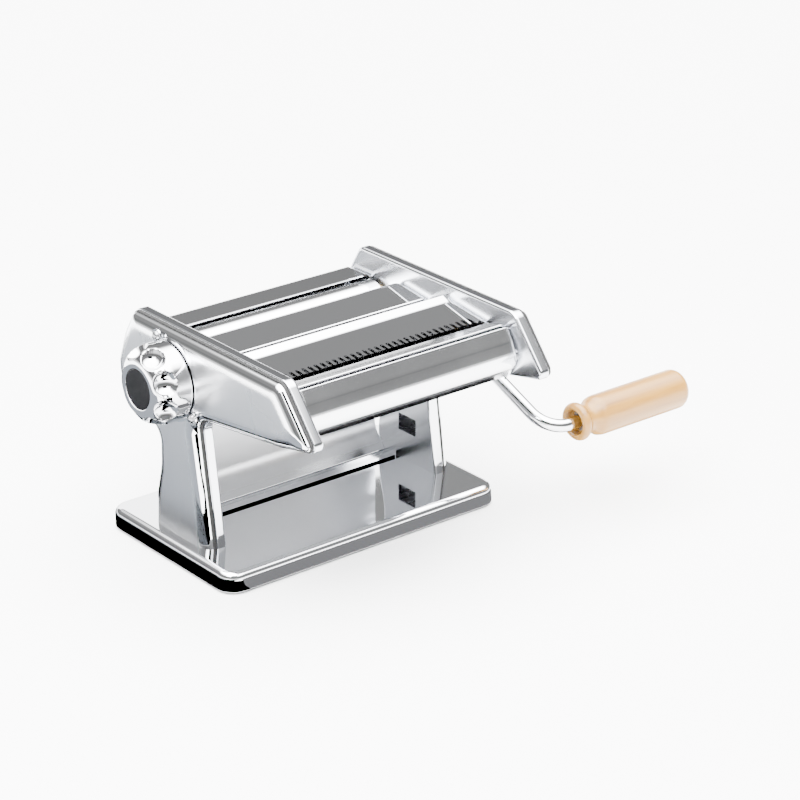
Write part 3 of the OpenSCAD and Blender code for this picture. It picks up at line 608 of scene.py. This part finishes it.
def roller(name, y, body, node, half, socket):
    """A smooth roller; the driving one ends in a hub with the crank's socket."""
    ease = 0.8
    barrel = [(ROLLER_AXLE_R, -half), (ROLLER_R - ease, -half), (ROLLER_R, -half + ease),
              (ROLLER_R, half - ease), (ROLLER_R - ease, half)]
    if socket:
        profile = socket_profile(barrel + [(HUB_R, half)], -PLATE_X - 0.4, ROLLER_AXLE_R)
    else:
        left_end = -PLATE_X - 0.2
        profile = [(0, left_end), (ROLLER_AXLE_R, left_end)] + barrel
        profile += [(ROLLER_AXLE_R, half), (ROLLER_AXLE_R, AXLE_END), (0, AXLE_END)]
    obj = piece(name, *lathe(profile, y, ROLLER_Z, 128), body, ROLLER_CHROME, "roller_steel", [node])
    if socket:
        cut(obj, [cross_slot(y, ROLLER_Z)])


def cutter(name, y, width, body, node, driven):
    """A grooved cutting roll; the driving one ends in a hub with the crank's socket."""
    half, play, ease = INNER_X - 1.5, 0.06, 0.15
    count = int(half / width) - 1
    discs = [i * width for i in range(-count, count + 1) if ((i + count) % 2 == 0) == driven]
    barrel = [(CUTTER_AXLE_R, -half), (CUTTER_CORE, -half)]
    for x in discs:
        x0, x1 = x - width / 2 + play, x + width / 2 - play
        barrel += [(CUTTER_CORE, x0), (CUTTER_R - ease, x0), (CUTTER_R, x0 + ease),
                   (CUTTER_R, x1 - ease), (CUTTER_R - ease, x1), (CUTTER_CORE, x1)]
    barrel += [(CUTTER_CORE, half)]
    if driven:
        right_end = PLATE_X + 0.4
        profile = [(0, -AXLE_END), (CUTTER_AXLE_R, -AXLE_END)] + barrel
        profile += [(CUTTER_AXLE_R, half), (CUTTER_AXLE_R, right_end), (0, right_end)]
    else:
        profile = socket_profile(barrel + [(HUB_R, half)], -AXLE_END, CUTTER_AXLE_R)
    # The near-black steel is painted shade for the cutters deep in their slots.
    obj = piece(name, *lathe(profile, y, CUTTER_Z, 64), body, CUTTER_SHADE_STEEL, "tool_steel", [node])
    if not driven:
        cut(obj, [cross_slot(y, CUTTER_Z)])


# ---- knob -----------------------------------------------------------------------

def dimpled(r, x, angle):
    """A knob profile point's radius, drawn in where a finger dimple reaches it."""
    blend, outside = 0.35, 99.0
    step = 2 * math.pi / DIMPLES
    off = (angle / step - 0.5 - round(angle / step - 0.5)) * step
    reach = DIMPLE_R ** 2 - (x + DIMPLE_X) ** 2 - (DIMPLE_AT * math.sin(off)) ** 2
    near = DIMPLE_AT * math.cos(off) - math.sqrt(reach) if reach > 0 else outside
    gap = max(blend - abs(r - near), 0) / blend
    return min(r, near) - gap * gap * blend / 4


def knob():
    """A domed knob with a ring of round finger dimples and a recess for its cap."""
    dome_x, rim_r, edge, seat_x, steps = 102.0, 13.4, 1.2, 99.0, 256
    back_x, cap_r = -KNOB_BACK - 0.6, CAP_R + 0.1
    back = [(5.4, back_x), (5.4, -KNOB_BACK), (KNOB_R - edge, -KNOB_BACK)]
    back += [(KNOB_R - edge + a, -KNOB_BACK - edge - b) for a, b in arc(0, 0, edge, -90, 0, 5)]
    side_l = dome_x - KNOB_BACK - edge
    side = [(KNOB_R, -KNOB_BACK - edge - side_l * i / 12) for i in range(1, 13)]
    dome = [(rim_r + (KNOB_R - rim_r) * math.cos(t), -dome_x - (KNOB_END - dome_x) * math.sin(t))
            for t in angles(2, 45)[1:]]
    face = [(CAP_R + 0.9, -KNOB_END + 0.02), (CAP_R + 0.35, -KNOB_END + 0.2), (cap_r, -KNOB_END + 0.6)]
    well = [(cap_r, -KNOB_END + CAP_DEPTH), (KNOB_SPRING_R, -KNOB_END + CAP_DEPTH),
            (KNOB_SPRING_R, -seat_x), (KNOB_BORE_R, -seat_x), (KNOB_BORE_R, back_x)]
    rings = []
    for r, x in back + side + dome + face + well:
        ring = []
        for j in range(steps):
            a = 2 * math.pi * j / steps
            q = dimpled(r, x, a) if r > CAP_R + 0.5 else r
            ring.append((x, KNOB_Y + q * math.cos(a), ROLLER_Z + q * math.sin(a)))
        rings.append(ring)
    rings.append(rings[0])
    verts, faces = loft(rings, cap_first=False, cap_last=False)
    piece("dial_knob", verts, faces, "knob_unit", KNOB_CHROME, "chrome_sheet", ["knob"], sharp=38)


def knob_cap():
    """The black cap in the knob's end, with a rounded edge."""
    edge = 0.5
    profile = [(0, -KNOB_END + CAP_DEPTH), (CAP_R, -KNOB_END + CAP_DEPTH), (CAP_R, -KNOB_END + edge)]
    profile += [(CAP_R - edge + a, -KNOB_END + edge - b) for a, b in arc(0, 0, edge, 0, 90, 5)]
    profile += [(CAP_R * 0.5, -KNOB_END), (0, -KNOB_END)]
    piece("dial_cap", *lathe(profile, KNOB_Y, ROLLER_Z), "knob_unit", CAP_PLASTIC, "black_plastic",
          ["knob_cap"])


# ---- crank ----------------------------------------------------------------------

def crank_path():
    """The rod's middle line as (x, distance along the arm, angle) points, from the socket to the grip."""
    hub_bend, grip_bend = 12.0, 16.0
    turn = angles(90 / 16, 17)[1:]
    points = [(MOUTH_X - SOCKET_DEPTH + 1, 0, 0.0), (ARM_X - hub_bend, 0, 0.0)]
    points += [(ARM_X - hub_bend + hub_bend * math.sin(t), hub_bend * (1 - math.cos(t)), t) for t in turn]
    points.append((ARM_X, THROW - grip_bend, math.pi / 2))
    points += [(ARM_X + grip_bend * (1 - math.cos(t)), THROW - grip_bend + grip_bend * math.sin(t),
                math.pi / 2 - t) for t in turn]
    return points + [(GRIP_X + ROD_IN_GRIP, THROW, 0.0)]


def crank_rod():
    """The bent rod, from its chamfered end in the socket to its chamfered end in the grip."""
    out = Vector((0, -math.cos(ARM_ANGLE), -math.sin(ARM_ANGLE)))
    up = Vector((0, math.sin(ARM_ANGLE), -math.cos(ARM_ANGLE)))
    hub = Vector((0, DRIVE_Y, ROLLER_Z))
    sides, chamfer = 48, 0.6
    turn = [2 * math.pi * j / sides for j in range(sides)]
    rings = []
    points = crank_path()
    points = ([(points[0][0], 0, 0.0, ROD_R - chamfer), (points[0][0] + chamfer, 0, 0.0, ROD_R)]
              + [(*p, ROD_R) for p in points[1:-1]]
              + [(points[-1][0] - chamfer, THROW, 0.0, ROD_R), (points[-1][0], THROW, 0.0, ROD_R - chamfer)])
    for x, s, t, r in points:
        middle = hub + Vector((x, 0, 0)) + out * s
        normal = Vector((-math.sin(t), 0, 0)) + out * math.cos(t)
        rings.append([tuple(middle + r * (normal * math.cos(a) + up * math.sin(a))) for a in turn])
    piece("crank_bar", *loft(rings), "crank", KNOB_CHROME, "roller_steel", ["crank_rod"], sharp=38)


def wooden_grip():
    """The turned grip: a rounded collar with a counterbore, a neck, and a straight body with a round end."""
    end_r, hole_r, bore_r, counter_r = 5.5, 7, 5.98, 7.6
    x1 = GRIP_X + GRIP_L
    pocket_x, counter_x = GRIP_X + ROD_IN_GRIP - 4, GRIP_X + 5
    collar_r, collar_l = 2.6, 2.9
    collar = [(9.0 + collar_r * math.cos(math.radians(t)),
               GRIP_X + collar_l + collar_l * math.sin(math.radians(t))) for t in range(-90, 61, 10)]
    neck = [(r, GRIP_X + along) for r, along in (
        (10.6, 5.5), (9.7, 6.6), (9.05, 8.0), (8.8, 9.6),
        (9.0, 11.2), (9.7, 12.8), (10.7, 14.2), (11.6, 15.6))]
    body = [(GRIP_R - 0.25, GRIP_X + 17), (GRIP_R, GRIP_X + 19), (GRIP_R, x1 - end_r)]
    nose = [(GRIP_R - end_r + a, x1 - end_r + b) for a, b in arc(0, 0, end_r, 10, 90, 8)]
    nose = [p for p in nose if p[0] > hole_r + 0.3]
    bore = [(hole_r, x1 - 0.05), (hole_r, x1 - 0.4), (hole_r, pocket_x), (bore_r, pocket_x),
            (bore_r, counter_x), (counter_r, counter_x), (counter_r, GRIP_X + 0.7), (8.1, GRIP_X + 0.05)]
    verts, faces = lathe(collar + neck + body + nose + bore, GRIP_Y, GRIP_Z, hollow=True)
    piece("turned_grip", verts, faces, "grip", GRIP_WOOD, "grip_wood", ["wooden_grip"], sharp=35)


# ---- studio ---------------------------------------------------------------------

BLACK = (0.01, 0.01, 0.01)
UP = Vector((0, 0, 1))

# Brightness of the sky by the sine of the height above the horizon
SKY = [(0.0, 0.20), (0.08, 0.09), (0.20, 0.018), (0.30, 0.012), (0.42, 0.018),
       (0.57, 0.018), (0.64, 0.06), (0.71, 0.5), (0.80, 1.0)]
SKY_STRENGTH = 20.0

# Cards just above the floor that the plating mirrors: (x0, x1, y0, y1), colour and glow
CARD_Z = 0.002
FLOOR_FIELDS = [
    ("left_field", (-0.45, -0.125, -0.06, 0.45), (0.70, 0.76, 0.85), 1.0),
    ("left_edge_field", (-0.125, -0.085, -0.075, 0.40), BLACK, 0.0),
    ("camera_field", (-0.50, -0.20, -0.75, -0.22), BLACK, 0.0),
    ("nose_field", (-0.20, -0.105, -0.32, 0.02), BLACK, 0.0),
    # Painted shade: a grey field that the front edges mirror, for the contact shadow on the floor in front of
    # the base.
    ("front_shade_field", (-0.085, 0.25, -0.10, -0.055), (0.30, 0.30, 0.31), 1.0),
    ("rear_line_field", (-0.10, 0.26, 0.080, 0.125), BLACK, 0.0),
    ("rear_field", (-0.10, 0.50, 0.125, 0.50), (0.66, 0.70, 0.76), 1.0),
]

# Cards that stand or hang: size, place, the point they face, colour and glow
CARDS = [
    ("camera_card", (0.60, 0.36), (-0.54, -0.79, 0.87), (-0.09, -0.10, 0.12), BLACK, 0.0),
    # Painted shade: a black strip in the tray that the rear panel's fold mirrors as a dark line, for the
    # shade under the head.
    ("tray_shade_strip", (0.1535, 0.003), (0, 0.010, 0.0150), (0, 1, 0.0150), BLACK, 0.0),
    ("back_field", (0.80, 0.22), (0.32, 0.35, 0.115), (0.32, 0, 0.115), (1, 1, 1), 6.0),
    ("inner_shade", (0.150, 0.118), (0, -0.034, 0.0892), (0, -0.034, 1), BLACK, 0.0),
    ("inner_field", (0.150, 0.118), (0, -0.034, 0.0885), (0, -0.034, 0), (0.97, 0.98, 1.0), 0.8),
]


def stage_plane(name, size, place, turn, material):
    """A flat stage piece, such as the floor or a card."""
    mesh = bpy.data.meshes.new(name)
    x, y = size[0] / 2, size[1] / 2
    mesh.from_pydata([(-x, -y, 0), (x, -y, 0), (x, y, 0), (-x, y, 0)], [], [(0, 1, 2, 3)])
    mesh.materials.append(material)
    obj = bpy.data.objects.new(name, mesh)
    bpy.context.scene.collection.objects.link(obj)
    obj.location = place
    obj.rotation_euler = turn
    return obj


def card(name, size, place, aim, colour, glow):
    """A studio card seen only in reflections."""
    material = bpy.data.materials.new(name)
    material.use_nodes = True
    shader = material.node_tree.nodes["Principled BSDF"]
    shader.inputs["Base Color"].default_value = (0, 0, 0, 1)
    shader.inputs["Roughness"].default_value = 1.0
    shader.inputs["Specular IOR Level"].default_value = 0.0
    shader.inputs["Emission Color"].default_value = (*colour, 1)
    shader.inputs["Emission Strength"].default_value = glow
    toward = Vector(aim) - Vector(place)
    obj = stage_plane(name, size, place, toward.to_track_quat("Z", "Y").to_euler(), material)
    obj.visible_camera = False
    obj.visible_diffuse = False
    obj.visible_shadow = False


def sky():
    """A bright ceiling over a darker ring, so that the plating shows light fields and dark lines."""
    world = bpy.data.worlds.new("studio")
    bpy.context.scene.world = world
    world.use_nodes = True
    tree = world.node_tree
    background = tree.nodes["Background"]
    background.inputs["Strength"].default_value = SKY_STRENGTH
    place = tree.nodes.new("ShaderNodeTexCoord")
    split = tree.nodes.new("ShaderNodeSeparateXYZ")
    ramp = tree.nodes.new("ShaderNodeValToRGB")
    while len(ramp.color_ramp.elements) < len(SKY):
        ramp.color_ramp.elements.new(0.5)
    for element, (at, grey) in zip(ramp.color_ramp.elements, SKY):
        element.position = at
        element.color = (grey, grey, grey, 1)
    tree.links.new(place.outputs["Generated"], split.inputs["Vector"])
    tree.links.new(split.outputs["Z"], ramp.inputs["Fac"])
    tree.links.new(ramp.outputs["Color"], background.inputs["Color"])


def studio():
    """A matt pale floor under the sky, one soft lamp from the left, and the cards."""
    sky()
    floor = bpy.data.materials.new("floor")
    floor.use_nodes = True
    shader = floor.node_tree.nodes["Principled BSDF"]
    shader.inputs["Base Color"].default_value = (0.95, 0.95, 0.95, 1)
    shader.inputs["Roughness"].default_value = 0.8
    shader.inputs["Specular IOR Level"].default_value = 0.0
    stage_plane("floor", (40, 40), (0, 0, 0), (0, 0, 0), floor)
    key = bpy.data.lights.new("key", "AREA")
    key.energy, key.size = 60, 1.2
    lamp = bpy.data.objects.new("key", key)
    bpy.context.scene.collection.objects.link(lamp)
    lamp.location = (-0.9, -0.6, 1.5)
    lamp_aim = Vector((0, 0, 0.08))
    lamp.rotation_euler = (lamp_aim - lamp.location).to_track_quat("-Z", "Y").to_euler()
    for name, (x0, x1, y0, y1), colour, glow in FLOOR_FIELDS:
        place = Vector(((x0 + x1) / 2, (y0 + y1) / 2, CARD_Z))
        card(name, (x1 - x0, y1 - y0), place, place + UP, colour, glow)
    for settings in CARDS:
        card(*settings)


def camera():
    """A long lens from the front left and above."""
    azimuth, elevation, distance = math.radians(-38.904), math.radians(23.269), 1.6696
    target = Vector((79.26, 8.26, 50.0)) * MM
    level = math.cos(elevation)
    back = Vector((math.sin(azimuth) * level, -math.cos(azimuth) * level, math.sin(elevation)))
    data = bpy.data.cameras.new("camera")
    data.lens, data.sensor_width = 123.28, 36
    obj = bpy.data.objects.new("camera", data)
    bpy.context.scene.collection.objects.link(obj)
    obj.location = target + back * distance
    obj.rotation_euler = (-back).to_track_quat("-Z", "Y").to_euler()
    bpy.context.scene.camera = obj


finish_cad_nodes()
base_tray()
side_plate("left_panel", -1, "left_side_plate")
side_plate("right_panel", 1, "right_side_plate")
side_cover("left_shell", -1, "left_cover")
side_cover("right_shell", 1, "right_cover")
rim_shade_strips()
bent_sheet("rear_sheet", REAR_PANEL, "rear_panel", material=PANEL_CHROME)
bent_sheet("rear_deck", REAR_COVER[::-1], "rear_cover", curl=SHEET_CURL)
bent_sheet("middle_deck", MIDDLE_COVER, "middle_cover", curl=SHEET_CURL)
comb_cover()
bent_sheet("front_deck", FRONT_COVER, "front_cover", curl=FRONT_CURL, lean=1.0, material=FRONT_CHROME)
roller("rear_roller", DRIVE_Y, "drive", "drive_roller", INNER_X - 2.5, True)
roller("front_roller", KNOB_Y, "adjustable", "adjustable_roller", INNER_X - 3.5, False)
for label, places, width in (("wide", WIDE_Y, 6.5), ("fine", FINE_Y, 2.125)):
    cutter(label + "_roll_driving", places[0], width, label + "_drive", label + "_cutter_drive", False)
    cutter(label + "_roll_driven", places[1], width, label + "_driven", label + "_cutter_driven", True)
knob()
knob_cap()
crank_rod()
wooden_grip()
studio()
camera()
